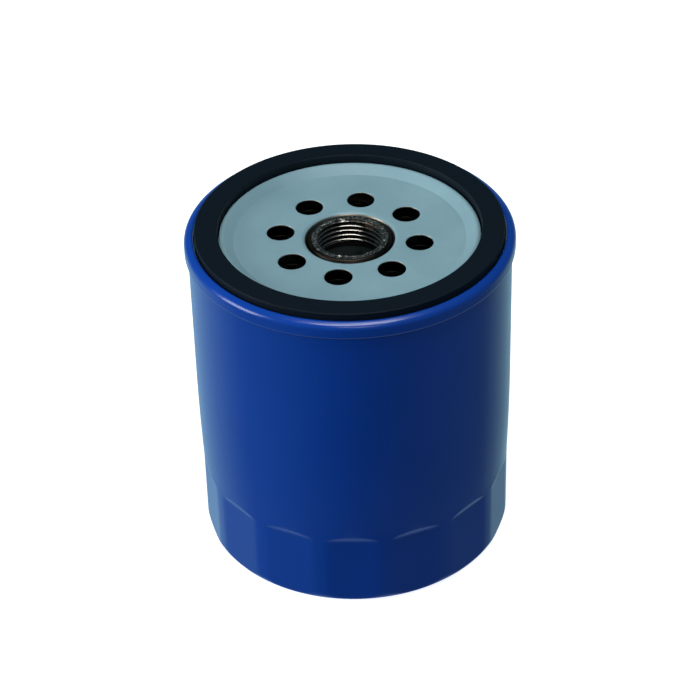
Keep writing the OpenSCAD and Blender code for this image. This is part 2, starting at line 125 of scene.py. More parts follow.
def spin(section, columns, start=0.0, reshape=None):
    """Turns a section of (radius, height) points round the axis: points, then the faces."""
    section = np.array(section)
    angles = start + np.arange(columns) * (2 * math.pi / columns)
    radius = np.repeat(section[:, :1], columns, axis=1)
    height = np.repeat(section[:, 1:], columns, axis=1)
    if reshape is not None:
        radius = reshape(radius, height, angles)
    points = np.stack([radius * np.cos(angles), radius * np.sin(angles), height], axis=-1)
    return points.reshape(-1, 3), net(len(section), columns)


def net(rows, columns, closed=True):
    """Faces over a net of points, closed round its columns or open."""
    last = columns if closed else columns - 1
    row, column = np.meshgrid(np.arange(rows - 1), np.arange(last), indexing="ij")
    beyond = (column + 1) % columns
    corners = [row * columns + column, row * columns + beyond,
               (row + 1) * columns + beyond, (row + 1) * columns + column]
    return np.stack(corners, axis=-1).reshape(-1, 4)


def make_piece(name, patches, materials, crease=40, material_of=None):
    """Joins patches of points (mm) and faces into one closed, smooth-shaded mesh object."""
    points = np.vstack([p for p, _ in patches]) * MM
    steps = np.cumsum([0] + [len(p) for p, _ in patches])
    faces = np.vstack([f + s for (_, f), s in zip(patches, steps)])
    mesh = bpy.data.meshes.new(name)
    mesh.from_pydata(points.tolist(), [], faces.tolist())
    shape = bmesh.new()
    shape.from_mesh(mesh)
    bmesh.ops.remove_doubles(shape, verts=shape.verts, dist=0.004 * MM)
    bmesh.ops.dissolve_degenerate(shape, edges=shape.edges, dist=0.002 * MM)
    loose = [v for v in shape.verts if not v.link_faces]
    bmesh.ops.delete(shape, geom=loose, context="VERTS")
    bmesh.ops.recalc_face_normals(shape, faces=shape.faces)
    if material_of is not None:
        for face in shape.faces:
            face.material_index = material_of(face.calc_center_median() / MM, face.normal)
    shape.to_mesh(mesh)
    shape.free()
    mesh.shade_smooth()
    mesh.set_sharp_from_angle(angle=math.radians(crease))
    for material in materials:
        mesh.materials.append(material)
    piece = bpy.data.objects.new(name, mesh)
    bpy.context.scene.collection.objects.link(piece)
    return piece


def softer_min(a, b, softness):
    """The smaller of two values, with the corner where they cross rounded off."""
    return -softness * np.logaddexp(-a / softness, -b / softness)


def press_flats(radius, height, angles):
    """Presses the wrench flats into the round wall, on the outside and inside of the sheet. Each
    flat ends upward in a sloping ledge, and past it the flat runs out fast and clears the wall."""
    inset = np.where(np.arange(len(radius)) < len(radius) // 2, 0.0, sheet_t)[:, None]
    pitch = 2 * math.pi / flat_count
    off_middle = (angles - flat_first + pitch / 2) % pitch - pitch / 2
    above = (height - flat_top_z) * flat_ledge_slope
    above = np.where(above > 1, 1 + (above - 1) * 4, above)
    reach = flat_middle_r + ledge_softness * np.logaddexp(0, above / ledge_softness)
    flat = (reach - inset) / np.cos(off_middle)
    pressed = softer_min(radius, flat, flat_softness)
    return np.where((radius > stand_in_r + 2) & (height < flats_end_z), pressed, radius)


def linear(sheet_colour):
    """A colour from its sRGB hex, turned to the linear values that the shader needs."""
    parts = [int(sheet_colour[i:i + 2], 16) / 255 for i in (0, 2, 4)]
    return [p / 12.92 if p <= 0.04045 else ((p + 0.055) / 1.055) ** 2.4 for p in parts] + [1.0]


def per(size_mm):
    """Texture scale that gives a pattern of this size."""
    return 1 / (size_mm * MM)


def add(tree, kind, inputs=None, **settings):
    """Adds a node with its settings; an input is a plain value or another node's socket."""
    node = tree.nodes.new(kind)
    for name, value in settings.items():
        setattr(node, name, value)
    for key, value in (inputs or {}).items():
        if isinstance(value, bpy.types.NodeSocket):
            tree.links.new(value, node.inputs[key])
        else:
            node.inputs[key].default_value = value
    return node


def new_material(name, **sockets):
    """A material with one shader: returns it, its tree, its shader and the object's coordinates."""
    material = bpy.data.materials.new(name)
    material.use_nodes = True
    tree = material.node_tree
    tree.nodes.clear()
    shader = add(tree, "ShaderNodeBsdfPrincipled", {k.replace("_", " "): v for k, v in sockets.items()})
    add(tree, "ShaderNodeOutputMaterial", {"Surface": shader.outputs["BSDF"]})
    place = add(tree, "ShaderNodeTexCoord").outputs["Object"]
    return material, tree, shader, place


def from_axis(tree, place):
    """The split coordinates of a point, and its distance from the filter's axis."""
    where = add(tree, "ShaderNodeSeparateXYZ", {"Vector": place})
    flat_place = add(tree, "ShaderNodeCombineXYZ", {"X": where.outputs["X"], "Y": where.outputs["Y"]})
    reach = add(tree, "ShaderNodeVectorMath", {0: flat_place.outputs["Vector"]}, operation="LENGTH")
    return where, reach


# Baked blue enamel, sprayed: an even saturated blue under a soft gloss, with a faint orange peel
# and here and there a barely lighter speck of dust
blue_enamel, tree, shader, place = new_material(
    "blue_enamel", Roughness=0.22, IOR=1.5, Coat_Weight=0.2, Coat_Roughness=0.06)
cloud = add(tree, "ShaderNodeTexNoise", {"Vector": place, "Scale": per(25), "Detail": 3.0})
tone = add(tree, "ShaderNodeMix", {
    "Factor": cloud.outputs["Fac"], "A": linear("0b47ae"), "B": linear("0e4ab8")}, data_type="RGBA")
nibs = add(tree, "ShaderNodeTexNoise", {"Vector": place, "Scale": per(0.8), "Detail": 0.0})
fleck = add(tree, "ShaderNodeMapRange", {
    "Value": nibs.outputs["Fac"], "From Min": 0.85, "From Max": 0.89, "To Min": 0.0, "To Max": 0.07})
enamel = add(tree, "ShaderNodeMix", {
    "Factor": fleck.outputs["Result"], "A": tone.outputs["Result"], "B": linear("8fa6c8")},
    data_type="RGBA")
tree.links.new(enamel.outputs["Result"], shader.inputs["Base Color"])
peel = add(tree, "ShaderNodeTexNoise", {"Vector": place, "Scale": per(1.6), "Detail": 2.0})
skin = add(tree, "ShaderNodeBump", {
    "Height": peel.outputs["Fac"], "Strength": 0.12, "Distance": 0.02 * MM})
tree.links.new(skin.outputs["Normal"], shader.inputs["Normal"])
haze = add(tree, "ShaderNodeMapRange", {
    "Value": cloud.outputs["Fac"], "From Min": 0.3, "From Max": 0.7, "To Min": 0.2, "To Max": 0.26})
tree.links.new(haze.outputs["Result"], shader.inputs["Roughness"])

tangent = panel_bend_r * math.tan(math.radians(22.5))
panel_z = panel_rise + sheet_t / 2
slope_sum = stand_in_r + sheet_t / math.sqrt(2)
inner_edge_r = edge_r - sheet_t / 2
panel_out_r = slope_sum - panel_z - tangent
ring_in_r = slope_sum - sheet_t / 2 + tangent
can_path = (
    [(r, panel_z) for r in (0, 6, 14, 22, 30)]
    + bend(panel_out_r, panel_z - panel_bend_r, panel_bend_r, 90, 45)
    + bend(ring_in_r, sheet_t / 2 + panel_bend_r, panel_bend_r, 225, 270)
    + bend(can_low_r - edge_r, edge_r, inner_edge_r, 270, 360, 16)
    + [(can_low_r - sheet_t / 2, z) for z in round_to(4, 20, 2)]
    + [(can_low_r - sheet_t / 2, z) for z in round_to(20.6, draft_low_z, 0.14)]
    + [(can_low_r + (can_top_r - can_low_r) * share * (2 - share) - sheet_t / 2,
        draft_low_z + (draft_high_z - draft_low_z) * share) for share in np.linspace(0.05, 1, 20)]
    + [(can_top_r - sheet_t / 2, z) for z in round_to(60, neck_low_z - 0.4, 5)]
    + bend(can_top_r - sheet_t / 2 - neck_bend_r, neck_low_z, neck_bend_r, 0, neck_lean, 5)
    + bend(can_hook_r + neck_bend_r, neck_low_z + neck_h, neck_bend_r, 180 + neck_lean, 180, 5)
    + bend(seam_mid_r, can_bend_z, wall_step, 180, 0, 10)
    + [(seam_mid_r + wall_step, hook_low_z)]
)
can_section = np.vstack([beside(can_path, -sheet_t / 2), beside(can_path, sheet_t / 2)[::-1]])
painted_can = make_piece(
    "painted_can", [spin(can_section, can_columns, reshape=press_flats)], [blue_enamel])
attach(painted_can, "canister")
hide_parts("can")


# ---------------------------------------------------------------- Support spring
# A coil of 2 mm spring wire that stands on the closed end and presses the filter element up
# against the valve and the plate. Its end turns lie flat. Drawn wire, left as it is wound.

def wind(radius, wire_r, turns, low, high, per_turn, sides):
    """Points and faces of a coil of round wire whose end turns lie flat, with rounded tips."""
    flat = 0.75
    steps = int(turns * per_turn)
    t = np.arange(steps + 1) / per_turn
    rise = np.clip((t - flat) / (turns - 2 * flat), 0, 1)
    rise = rise * rise * (3 - 2 * rise) * 0.3 + rise * 0.7
    centre_z = low + wire_r + (high - low - 2 * wire_r) * rise
    slim = np.ones(steps + 1)
    slim[0] = slim[-1] = 0.75
    around = np.arange(sides) * (2 * math.pi / sides)
    reach = radius + wire_r * slim[:, None] * np.cos(around)
    turn = 2 * math.pi * t[:, None]
    points = np.stack([reach * np.cos(turn), reach * np.sin(turn),
                       centre_z[:, None] + wire_r * slim[:, None] * np.sin(around)], axis=-1)
    tips = np.array([
        [radius * math.cos(turn[i, 0]), radius * math.sin(turn[i, 0]), centre_z[i]] for i in (0, -1)])
    count = (steps + 1) * sides
    k = np.arange(sides)
    beyond = (k + 1) % sides
    first = np.stack([np.full(sides, count), beyond, k, np.full(sides, count)], axis=1)
    last = np.stack([np.full(sides, count + 1), count - sides + k, count - sides + beyond,
                     np.full(sides, count + 1)], axis=1)
    return np.vstack([points.reshape(-1, 3), tips]), net(steps + 1, sides), first[:, :3], last[:, :3]


def make_coil(name, material, *sizes):
    """A coil spring as its own piece."""
    points, walls, first, last = wind(*sizes)
    mesh = bpy.data.meshes.new(name)
    mesh.from_pydata((points * MM).tolist(), [], walls.tolist() + first.tolist() + last.tolist())
    shape = bmesh.new()
    shape.from_mesh(mesh)
    bmesh.ops.recalc_face_normals(shape, faces=shape.faces)
    shape.to_mesh(mesh)
    shape.free()
    mesh.shade_smooth()
    mesh.materials.append(material)
    coil = bpy.data.objects.new(name, mesh)
    bpy.context.scene.collection.objects.link(coil)
    return coil


# Drawn spring steel: grey metal with fine die lines along the wire and a thin film of oil
spring_wire, tree, shader, place = new_material("spring_wire", Metallic=1.0, Roughness=0.35)
drawn = add(tree, "ShaderNodeTexNoise", {"Vector": place, "Scale": per(0.6), "Detail": 4.0})
tone = add(tree, "ShaderNodeMix", {
    "Factor": drawn.outputs["Fac"], "A": linear("6c6f70"), "B": linear("9a9d9c")}, data_type="RGBA")
tree.links.new(tone.outputs["Result"], shader.inputs["Base Color"])
lines = add(tree, "ShaderNodeBump", {
    "Height": drawn.outputs["Fac"], "Strength": 0.2, "Distance": 0.02 * MM})
tree.links.new(lines.outputs["Normal"], shader.inputs["Normal"])

support_low, support_high = (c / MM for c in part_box("support_spring"))
support_wire_r = 1.0
support_coil = make_coil(
    "support_coil", spring_wire, support_high.x - support_wire_r, support_wire_r, 3,
    support_low.z, support_high.z, 64, 16)
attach(support_coil, "canister")
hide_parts("support_spring")


# ---------------------------------------------------------------- Relief valve
# A pressed seat and a windowed cage stand in the element's lower end. A coil spring holds a
# steel disc with a rubber seal down on the port, and lets oil past if the paper is blocked.

relief_low, relief_high = (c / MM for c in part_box("relief_spring"))
relief_wire_r = 0.45
relief_coil = make_coil(
    "relief_coil", spring_wire, relief_high.x - relief_wire_r, relief_wire_r, 5,
    relief_low.z, relief_high.z, 56, 14)
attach(relief_coil, "canister")
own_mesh(relief_coil)
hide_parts("relief_spring")

# Cold-rolled strip, pressed and left bare: cool grey with a fine rolled grain
pressed_strip, tree, shader, place = new_material("pressed_strip", Metallic=1.0, Roughness=0.4)
stretch = add(tree, "ShaderNodeMapping", {"Vector": place, "Scale": (1.0, 0.12, 1.0)})
rolled = add(tree, "ShaderNodeTexNoise", {
    "Vector": stretch.outputs["Vector"], "Scale": per(0.35), "Detail": 5.0})
tone = add(tree, "ShaderNodeMix", {
    "Factor": rolled.outputs["Fac"], "A": linear("8c9293"), "B": linear("b4baba")}, data_type="RGBA")
tree.links.new(tone.outputs["Result"], shader.inputs["Base Color"])
lines = add(tree, "ShaderNodeBump", {
    "Height": rolled.outputs["Fac"], "Strength": 0.15, "Distance": 0.01 * MM})
tree.links.new(lines.outputs["Normal"], shader.inputs["Normal"])


def finish_node(name, material):
    """Gives a CAD node that is shown as it is its finish."""
    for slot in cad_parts[name].material_slots:
        slot.material = material


for name in ("relief_seat", "relief_cage", "relief_disc"):
    finish_node(name, pressed_strip)

# Moulded nitrile rubber: near-black, dull, with a fine bloom
seal_rubber, tree, shader, place = new_material("seal_rubber", Roughness=0.6, IOR=1.52)
bloom = add(tree, "ShaderNodeTexNoise", {"Vector": place, "Scale": per(1.2), "Detail": 5.0})
tone = add(tree, "ShaderNodeMix", {
    "Factor": bloom.outputs["Fac"], "A": linear("17191a"), "B": linear("25282a")}, data_type="RGBA")
tree.links.new(tone.outputs["Result"], shader.inputs["Base Color"])
lines = add(tree, "ShaderNodeBump", {
    "Height": bloom.outputs["Fac"], "Strength": 0.3, "Distance": 0.02 * MM})
tree.links.new(lines.outputs["Normal"], shader.inputs["Normal"])
finish_node("relief_seal", seal_rubber)


# ---------------------------------------------------------------- Filter element
# Resin-dipped paper, folded into fifty pleats round a perforated tube. A folded clip joins its
# ends, and it is potted into two tinplate end caps.

# Tinplate: bright and cool, with a fine crystalline mottle under the oil
tinplate, tree, shader, place = new_material("tinplate", Metallic=1.0, Roughness=0.55)
spangle = add(tree, "ShaderNodeTexVoronoi", {"Vector": place, "Scale": per(3.5)})
mottle = add(tree, "ShaderNodeTexNoise", {"Vector": place, "Scale": per(1.5), "Detail": 4.0})
cell = add(tree, "ShaderNodeSeparateColor", {"Color": spangle.outputs["Color"]})
blend_of = add(tree, "ShaderNodeMath", {
    0: cell.outputs["Red"], 1: mottle.outputs["Fac"]}, operation="MULTIPLY")
tone = add(tree, "ShaderNodeMix", {
    "Factor": blend_of.outputs[0], "A": linear("8fa0a0"), "B": linear("b9c8c6")}, data_type="RGBA")
tree.links.new(tone.outputs["Result"], shader.inputs["Base Color"])
rough = add(tree, "ShaderNodeMapRange", {
    "Value": cell.outputs["Green"], "To Min": 0.5, "To Max": 0.62})
tree.links.new(rough.outputs["Result"], shader.inputs["Roughness"])
for name in ("upper_end_cap", "lower_end_cap", "center_tube", "media_seam_clip"):
    finish_node(name, tinplate)

# Plastisol potting: cream, with a soft skin and small bubbles
plastisol, tree, shader, place = new_material("plastisol", Roughness=0.45, IOR=1.5)
skin = add(tree, "ShaderNodeTexNoise", {"Vector": place, "Scale": per(2.5), "Detail": 4.0})
tone = add(tree, "ShaderNodeMix", {
    "Factor": skin.outputs["Fac"], "A": linear("a89f80"), "B": linear("cfc7a9")}, data_type="RGBA")
tree.links.new(tone.outputs["Result"], shader.inputs["Base Color"])
bubbles = add(tree, "ShaderNodeTexVoronoi", {"Vector": place, "Scale": per(1.4)})
pits = add(tree, "ShaderNodeBump", {
    "Height": bubbles.outputs["Distance"], "Strength": 0.4, "Distance": 0.1 * MM})
tree.links.new(pits.outputs["Normal"], shader.inputs["Normal"])
for name in ("upper_potting", "lower_potting"):
    finish_node(name, plastisol)

# Phenolic-dipped cellulose: warm tan, matt, with matted fibres
filter_paper, tree, shader, place = new_material(
    "filter_paper", Roughness=0.85, IOR=1.45, Sheen_Weight=0.15, Sheen_Roughness=0.5)
fibre = add(tree, "ShaderNodeTexNoise", {
    "Vector": place, "Scale": per(0.5), "Detail": 8.0, "Distortion": 1.5})
stain = add(tree, "ShaderNodeTexNoise", {"Vector": place, "Scale": per(9), "Detail": 3.0})
mixed = add(tree, "ShaderNodeMath", {
    0: fibre.outputs["Fac"], 1: stain.outputs["Fac"]}, operation="MULTIPLY")
tone = add(tree, "ShaderNodeMapRange", {"Value": mixed.outputs[0], "From Min": 0.1, "From Max": 0.45})
colour = add(tree, "ShaderNodeMix", {
    "Factor": tone.outputs["Result"], "A": linear("a8813f"), "B": linear("d9bf82")}, data_type="RGBA")
tree.links.new(colour.outputs["Result"], shader.inputs["Base Color"])
nap = add(tree, "ShaderNodeBump", {"Height": fibre.outputs["Fac"], "Strength": 0.5, "Distance": 0.08 * MM})
tree.links.new(nap.outputs["Normal"], shader.inputs["Normal"])

paper_low, paper_high = (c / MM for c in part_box("filter_media"))
paper_t = 0.5
pleat_count = 50
pleat_in_r = 14.6
pleat_out_r = 37.3
fin_turn = math.radians(90)
fin_half = 0.4
tip_r = 0.62
root_r = 0.42
fin_in_r = pleat_in_r + 1.2
fin_out_r = pleat_out_r - 1


def pleat_path():
    """The paper's middle line seen from above, with rounded folds, from one end fin to the other."""
    pitch = 2 * math.pi / pleat_count
    line = [(fin_out_r, fin_half), (fin_in_r, fin_half)]
    for i in range(1, pleat_count):
        middle = i * pitch
        before, after = middle - pitch / 2, middle + pitch / 2
        for c in np.radians(np.linspace(0, 80, 4)) if i > 1 else ():
            line.append(polar(pleat_in_r + root_r * (1 - math.cos(c)), before, root_r * math.sin(c)))
        for c in np.radians(np.linspace(-80, 80, 7)):
            line.append(polar(pleat_out_r - tip_r * (1 - math.cos(c)), middle, tip_r * math.sin(c)))
        for c in np.radians(np.linspace(-80, 0, 4))[:-1] if i < pleat_count - 1 else ():
            line.append(polar(pleat_in_r + root_r * (1 - math.cos(c)), after, root_r * math.sin(c)))
    return np.array(line + [(fin_in_r, -fin_half), (fin_out_r, -fin_half)])


def polar(reach, turn, aside=0.0):
    """A point at this reach along a direction, and aside from it."""
    return (reach * math.cos(turn) - aside * math.sin(turn),
            reach * math.sin(turn) + aside * math.cos(turn))


outline = np.vstack([beside(pleat_path(), paper_t / 2), beside(pleat_path(), -paper_t / 2)[::-1]])
count = len(outline)
heights = round_to(paper_low.z, paper_high.z, 6)
swell = 1 + 0.002 * np.sin(heights / 3)
walls = np.array([[(x * s, y * s, z) for x, y in outline] for z, s in zip(heights, swell)])
half = count // 2
k = np.arange(half - 1)
floor_faces = np.stack([k, k + 1, count - 2 - k, count - 1 - k], axis=1)
turned = walls.reshape(-1, 3) @ np.array(Matrix.Rotation(fin_turn, 3, "Z").transposed())
lid_faces = floor_faces + (len(heights) - 1) * count
pleated_paper = make_piece(
    "pleated_paper", [(turned, np.vstack([net(len(heights), count), floor_faces, lid_faces]))],
    [filter_paper], crease=50)
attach(pleated_paper, "canister")
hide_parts("filter_media")


# ---------------------------------------------------------------- Anti-drain valve
# One moulding of silicone or nitrile: a ring clamped between the element and the plate, and a
# ribbed skirt that lies against the plate's underside until oil pushes it down.

valve_low, valve_high = (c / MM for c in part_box("anti_drain_valve"))
valve_bore_r = 11.0
valve_root_r = 14.0
skirt_out_r = valve_high.x
skirt_t = 1.1
skirt_root_z = valve_low.z + skirt_t / 2 + 0.3
skirt_lip_z = valve_high.z - skirt_t / 2
valve_columns = 256
rib_count = 16
rib_half_w = 0.6
rib_out_r = 18.5
rib_h = 0.5

# Oil-proof rubber, reddish brown-black, with the fine mark of the mould
valve_rubber, tree, shader, place = new_material("valve_rubber", Roughness=0.5, IOR=1.5)
mould = add(tree, "ShaderNodeTexNoise", {"Vector": place, "Scale": per(0.8), "Detail": 6.0})
tone = add(tree, "ShaderNodeMix", {
    "Factor": mould.outputs["Fac"], "A": linear("241d1a"), "B": linear("3a302b")}, data_type="RGBA")
tree.links.new(tone.outputs["Result"], shader.inputs["Base Color"])
matt = add(tree, "ShaderNodeBump", {"Height": mould.outputs["Fac"], "Strength": 0.3, "Distance": 0.03 * MM})
tree.links.new(matt.outputs["Normal"], shader.inputs["Normal"])


def raise_ribs(points, faces):
    """Lifts the ribs on the skirt's upper face beside the ring."""
    reach = np.hypot(points[:, 0], points[:, 1])
    turn = np.arctan2(points[:, 1], points[:, 0])
    pitch = 2 * math.pi / rib_count
    aside = np.abs((turn + pitch / 2) % pitch - pitch / 2) * reach
    across = np.clip((rib_half_w - aside) / 0.3, 0, 1)
    along = np.clip((rib_out_r - reach) / 1.5, 0, 1)
    upper = points[:, 2] > skirt_root_z
    points[:, 2] += rib_h * across * along * upper
    return points, faces


ring_section = (
    bend(valve_bore_r + 0.3, valve_low.z + 0.3, 0.3, 270, 180, 3)
    + [(valve_bore_r, z) for z in (87.6, 88.4)]
    + bend(valve_bore_r + 0.3, valve_high.z - 0.3, 0.3, 180, 90, 3)
    + [(12.5, valve_high.z)]
    + bend(valve_root_r - 0.3, valve_high.z - 0.3, 0.3, 90, 0, 3)
    + bend(valve_root_r - 0.3, valve_low.z + 0.3, 0.3, 0, -90, 3)
    + [(valve_bore_r + 0.3, valve_low.z)]
)
valve_ring = make_piece("valve_ring", [spin(ring_section, valve_columns)], [valve_rubber])
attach(valve_ring, "canister")
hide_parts("anti_drain_valve")

skirt_path = (
    [(r, skirt_root_z) for r in np.linspace(valve_root_r - 0.6, 16.6, 12)]
    + [(17.0 + (skirt_out_r - 18.6) * s,
        skirt_root_z + (skirt_lip_z - skirt_root_z) * (s * s * (3 - 2 * s))) for s in np.linspace(0, 1, 16)]
    + [(skirt_out_r - 0.8, skirt_lip_z), (skirt_out_r - 0.25, skirt_lip_z)]
)
skirt_rim = bend(skirt_out_r - skirt_t / 2, skirt_lip_z, skirt_t / 2, 90, -90, 8)
skirt_section = np.vstack([
    beside(skirt_path, skirt_t / 2)[:-1], skirt_rim, beside(skirt_path, -skirt_t / 2)[:-1][::-1],
    beside(skirt_path, skirt_t / 2)[:1]])
valve_skirt = make_piece("valve_skirt", [raise_ribs(*spin(skirt_section, valve_columns))], [valve_rubber])
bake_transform(valve_skirt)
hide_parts("anti_drain_valve")


# ---------------------------------------------------------------- Threaded plate
# The thick plate that carries the filter: pressed from hot-rolled steel, with its middle dished
# and a neck drawn up out of it, torn rough at its mouth and tapped for the engine's stud. The
# eight inlet holes go through its dish. Left bare and oily.

plate_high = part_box("base_plate")[1] / MM
plate_t = 3.6
plate_top_z = 96.3
dish_z = 93.0
dish_out_r = 24.4
slope_out_r = dish_out_r + 3.2
plate_out_r = plate_high.x
under_dish_r = dish_out_r + 1.6
neck_out_r = 12.0
mouth_round_r = 1.6
thread_r = 9.19
thread_pitch = 1.5
thread_depth = 0.81
mouth_r = thread_r + 0.28
ring_out_r = 10.8
torn_h = 0.9
hole_count = 8
hole_first = math.radians(-10)
hole_circle_r = 19.75
columns = 240
sector_start = hole_first - math.pi / hole_count


def pierce(inner_r, outer_r, hole_r, rows):
    """A flat ring of sheet with a row of round holes. Each row of a sector has its distance from
    the hole's edge, its share of the way out to the sector's border, and its height."""
    patches = []
    per_sector = columns // hole_count
    side = 14
    for hole in range(hole_count):
        middle = hole_first + 2 * math.pi * hole / hole_count
        arc = middle + np.linspace(-0.5, 0.5, per_sector + 1) * (2 * math.pi / hole_count)
        out = [polar(outer_r, a) for a in arc]
        down = [polar(r, arc[-1]) for r in np.linspace(outer_r, inner_r, side + 2)[1:-1]]
        back = [polar(inner_r, a) for a in arc[::-1]]
        up = [polar(r, arc[0]) for r in np.linspace(inner_r, outer_r, side + 2)[1:-1]]
        border = np.array(out + down + back + up)
        centre = np.array(polar(hole_circle_r, middle))
        away = border - centre
        away /= np.linalg.norm(away, axis=1)[:, None]
        sheets = []
        for distance, share, height in rows:
            near = centre + away * (hole_r + distance)
            flat = near + (border - near) * share
            sheets.append(np.column_stack([flat, np.full(len(flat), height)]))
        patches.append((np.vstack(sheets), net(len(rows), len(border))))
    return patches


def cut_thread(low_z, high_z):
    """The tapped bore: a strip one pitch wide wound round the axis, trimmed at both ends."""
    crest = thread_pitch / 4
    root = thread_pitch / 8
    flank = (thread_pitch - crest - root) / 2
    knots = np.cumsum([0, crest / 2, flank, root, flank, crest / 2])
    depth_at = [0, 0, 1, 1, 0, 0]
    fine = [np.linspace(a, b, 5) for a, b in zip(knots, knots[1:])]
    across = np.unique(np.round(np.concatenate(fine), 6))
    depth = np.interp(across, knots, depth_at)
    depth = depth * depth * (3 - 2 * depth) * 0.35 + depth * 0.65
    turns = math.ceil((high_z - low_z) / thread_pitch) + 1
    turn = np.arange(turns * columns + 1) / columns
    height = low_z - thread_pitch + turn[:, None] * thread_pitch + across
    reach = thread_r + thread_depth * depth[None, :] + 0 * height
    height = np.clip(height, low_z, high_z)
    from_end = np.minimum(height - low_z, high_z - height)
    reach = np.clip(reach, mouth_r - from_end, mouth_r + from_end)
    angle = sector_start + 2 * math.pi * turn[:, None] + 0 * height
    points = np.stack([reach * np.cos(angle), reach * np.sin(angle), height], axis=-1).reshape(-1, 3)
    return points, net(len(turn), len(across), closed=False)


def tear(points, faces):
    """Roughens the neck's sheared mouth with torn grains of steel."""
    reach = np.hypot(points[:, 0], points[:, 1])
    torn = np.clip((points[:, 2] - (plate_high.z - torn_h)) / 0.6, 0, 1)
    torn *= np.clip((reach - thread_r) / 0.25, 0, 1) * np.clip((ring_out_r + 0.4 - reach) / 0.5, 0, 1)
    for i in np.nonzero(torn > 0)[0]:
        at = Vector(points[i])
        coarse = noise.noise(at * 0.9)
        fine = noise.noise(at * 2.8 + Vector((7, 3, 1)))
        ragged = noise.cell(at * 1.7) - 0.5
        points[i, 2] += torn[i] * (-0.10 + 0.14 * coarse + 0.12 * fine + 0.10 * ragged)
        push = 1 - torn[i] * (0.006 + 0.008 * abs(fine) + 0.006 * ragged)
        points[i, :2] *= push
    points[:, 2] = np.minimum(points[:, 2], plate_high.z)
    return points, faces


# Hot-rolled steel, tapped and wetted with cutting oil: dark brown-grey metal, bright where the
# tap has cut it, with a little fresh rust on one side of the mouth, and painted shade lower down
oiled_steel, tree, shader, place = new_material("oiled_steel", Metallic=1.0, Roughness=0.35)
scale = add(tree, "ShaderNodeTexNoise", {"Vector": place, "Scale": per(3), "Detail": 6.0})
tone = add(tree, "ShaderNodeMix", {
    "Factor": scale.outputs["Fac"], "A": linear("211d1a"), "B": linear("3f3933")}, data_type="RGBA")
where, reach = from_axis(tree, place)
bored = add(tree, "ShaderNodeMapRange", {
    "Value": reach.outputs["Value"], "From Min": (thread_r + 0.9) * MM, "From Max": (thread_r + 0.4) * MM})
# Painted shade: the steel darkens towards near-black from the neck's foot down into the dish
painted_shade_depth = add(tree, "ShaderNodeMapRange", {
    "Value": where.outputs["Z"], "From Min": 95.8 * MM, "From Max": 93.6 * MM,
    "To Min": 0.0, "To Max": 0.7})
shaded_low = add(tree, "ShaderNodeMix", {
    "Factor": painted_shade_depth.outputs["Result"], "A": tone.outputs["Result"], "B": linear("0d0c0c")},
    data_type="RGBA")
cut_metal = add(tree, "ShaderNodeMix", {
    "Factor": bored.outputs["Result"], "A": shaded_low.outputs["Result"], "B": linear("a8a39b")},
    data_type="RGBA")
from_rust = add(tree, "ShaderNodeVectorMath", {
    0: place, 1: Vector((5.6, 8.4, 95.6)) * MM}, operation="DISTANCE")
rust_grain = add(tree, "ShaderNodeTexNoise", {"Vector": place, "Scale": per(0.7), "Detail": 6.0})
near_rust = add(tree, "ShaderNodeMapRange", {
    "Value": from_rust.outputs["Value"], "From Min": 3.4 * MM, "From Max": 0.8 * MM})
rust_mask = add(tree, "ShaderNodeMath", {
    0: near_rust.outputs["Result"], 1: rust_grain.outputs["Fac"]}, operation="MULTIPLY")
rust_edge = add(tree, "ShaderNodeMapRange", {
    "Value": rust_mask.outputs[0], "From Min": 0.34, "From Max": 0.54})
rusty = add(tree, "ShaderNodeMix", {
    "Factor": rust_edge.outputs["Result"], "A": cut_metal.outputs["Result"], "B": linear("7d5236")},
    data_type="RGBA")
tree.links.new(rusty.outputs["Result"], shader.inputs["Base Color"])
dull = add(tree, "ShaderNodeMapRange", {
    "Value": scale.outputs["Fac"], "From Min": 0.3, "From Max": 0.7, "To Min": 0.3, "To Max": 0.48})
rust_dull = add(tree, "ShaderNodeMath", {
    0: rust_edge.outputs["Result"], 1: 0.3, 2: dull.outputs["Result"]}, operation="MULTIPLY_ADD")
tapped = add(tree, "ShaderNodeMath", {
    0: bored.outputs["Result"], 1: -0.14, 2: rust_dull.outputs[0]}, operation="MULTIPLY_ADD")
tree.links.new(tapped.outputs[0], shader.inputs["Roughness"])
tooth = add(tree, "ShaderNodeTexNoise", {"Vector": place, "Scale": per(0.4), "Detail": 5.0})
pitted = add(tree, "ShaderNodeBump", {
    "Height": tooth.outputs["Fac"], "Strength": 0.35, "Distance": 0.04 * MM})
tree.links.new(pitted.outputs["Normal"], shader.inputs["Normal"])

# Torn steel at the neck's mouth: bright broken grains over a dark oily ground
torn_steel, tree, shader, place = new_material("torn_steel", Metallic=1.0, Roughness=0.3)
grains = add(tree, "ShaderNodeTexVoronoi", {"Vector": place, "Scale": per(0.55)})
streaks = add(tree, "ShaderNodeTexNoise", {
    "Vector": place, "Scale": per(0.5), "Detail": 6.0, "Distortion": 2.0})
broken = add(tree, "ShaderNodeMath", {
    0: grains.outputs["Distance"], 1: streaks.outputs["Fac"]}, operation="MULTIPLY")
shown = add(tree, "ShaderNodeMapRange", {"Value": broken.outputs[0], "From Min": 0.16, "From Max": 0.34})
tone = add(tree, "ShaderNodeMix", {
    "Factor": shown.outputs["Result"], "A": linear("453e39"), "B": linear("c4beb4")}, data_type="RGBA")
tree.links.new(tone.outputs["Result"], shader.inputs["Base Color"])
ragged_bump = add(tree, "ShaderNodeBump", {
    "Height": broken.outputs[0], "Strength": 0.9, "Distance": 0.15 * MM})
tree.links.new(ragged_bump.outputs["Normal"], shader.inputs["Normal"])

